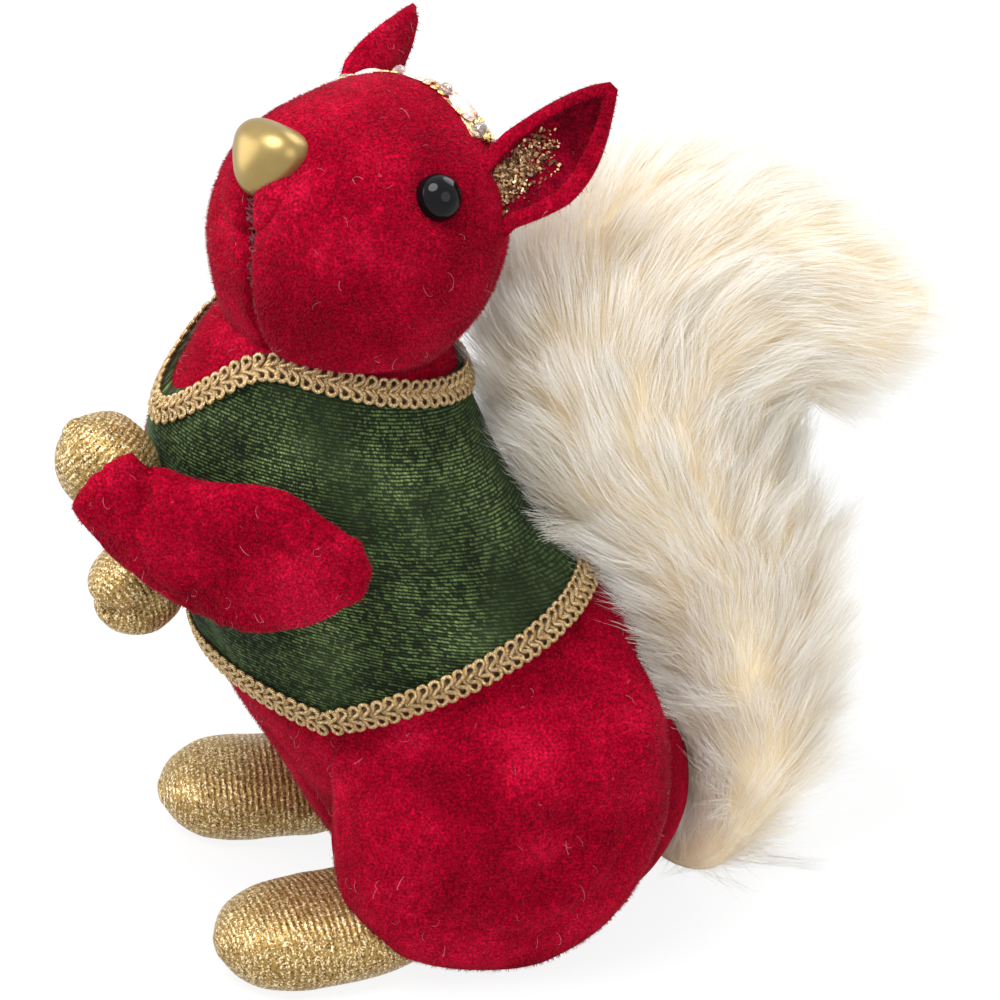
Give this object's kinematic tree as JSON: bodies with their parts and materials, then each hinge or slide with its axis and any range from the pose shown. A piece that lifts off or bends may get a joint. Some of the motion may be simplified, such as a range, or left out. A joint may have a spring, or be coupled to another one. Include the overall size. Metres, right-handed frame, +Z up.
{
  "type": "squirrel figurine",
  "caption": "Sitting velvet squirrel ornament with a braided waistcoat, knit paws and feet, leaf ears, beaded headband and a tall curled fur tail.",
  "frame": {"origin": "on the flat seat that rests on the table, under the body", "axes": "+Z up, the animal faces -Y, its left side is +X"},
  "size_m": [0.12, 0.2047, 0.1996],
  "materials": {
    "red_velvet": "crimson pile velvet",
    "green_velvet": "dark green pile velvet, woven in fine rows",
    "gold_braid": "metallic gold gimp braid",
    "gold_knit": "gold metallic knit",
    "cream_fur": "cream long-pile fur",
    "stuffing": "polyester stuffing",
    "bronze_glitter": "bronze and gold glitter flakes",
    "gold_nose": "satin gold",
    "black_eye": "polished black",
    "gold_ribbon": "gold ribbon",
    "pink_stone": "pale pink faceted acrylic",
    "clear_crystal": "clear cut glass",
    "gold_bead": "gold metallised bead",
    "steel_wire": "drawn wire",
    "dowel_wood": "plain",
    "seat_board": "grey board"
  },
  "bodies": {
    "root": {"arm_left_core": "stuffing", "arm_left_cover": "red_velvet", "arm_right_core": "stuffing", "arm_right_cover": "red_velvet", "base_disc": "seat_board", "body_core": "stuffing", "body_cover_left": "red_velvet", "body_cover_right": "red_velvet", "ear_left_back": "red_velvet", "ear_left_glitter": "bronze_glitter", "ear_left_lining": "red_velvet", "ear_right_back": "red_velvet", "ear_right_glitter": "bronze_glitter", "ear_right_lining": "red_velvet", "eye_left": "black_eye", "eye_right": "black_eye", "foot_left_core": "stuffing", "foot_left_cover": "gold_knit", "foot_right_core": "stuffing", "foot_right_cover": "gold_knit", "head_core": "stuffing", "head_cover_left": "red_velvet", "head_cover_right": "red_velvet", "headband_crystals": "clear_crystal", "headband_gold_beads": "gold_bead", "headband_ribbon": "gold_ribbon", "headband_sequins": "gold_bead", "headband_stones": "pink_stone", "neck_dowel": "dowel_wood", "nose": "gold_nose", "paw_left_core": "stuffing", "paw_left_cover": "gold_knit", "paw_right_core": "stuffing", "paw_right_cover": "gold_knit", "seat_panel": "red_velvet", "tail_core": "stuffing", "tail_fur": "cream_fur", "tail_wire": "steel_wire", "thigh_left_core": "stuffing", "thigh_left_cover": "red_velvet", "thigh_right_core": "stuffing", "thigh_right_cover": "red_velvet", "vest": "green_velvet", "vest_hem_braid": "gold_braid", "vest_neck_braid": "gold_braid"}
  },
  "joints": []
}
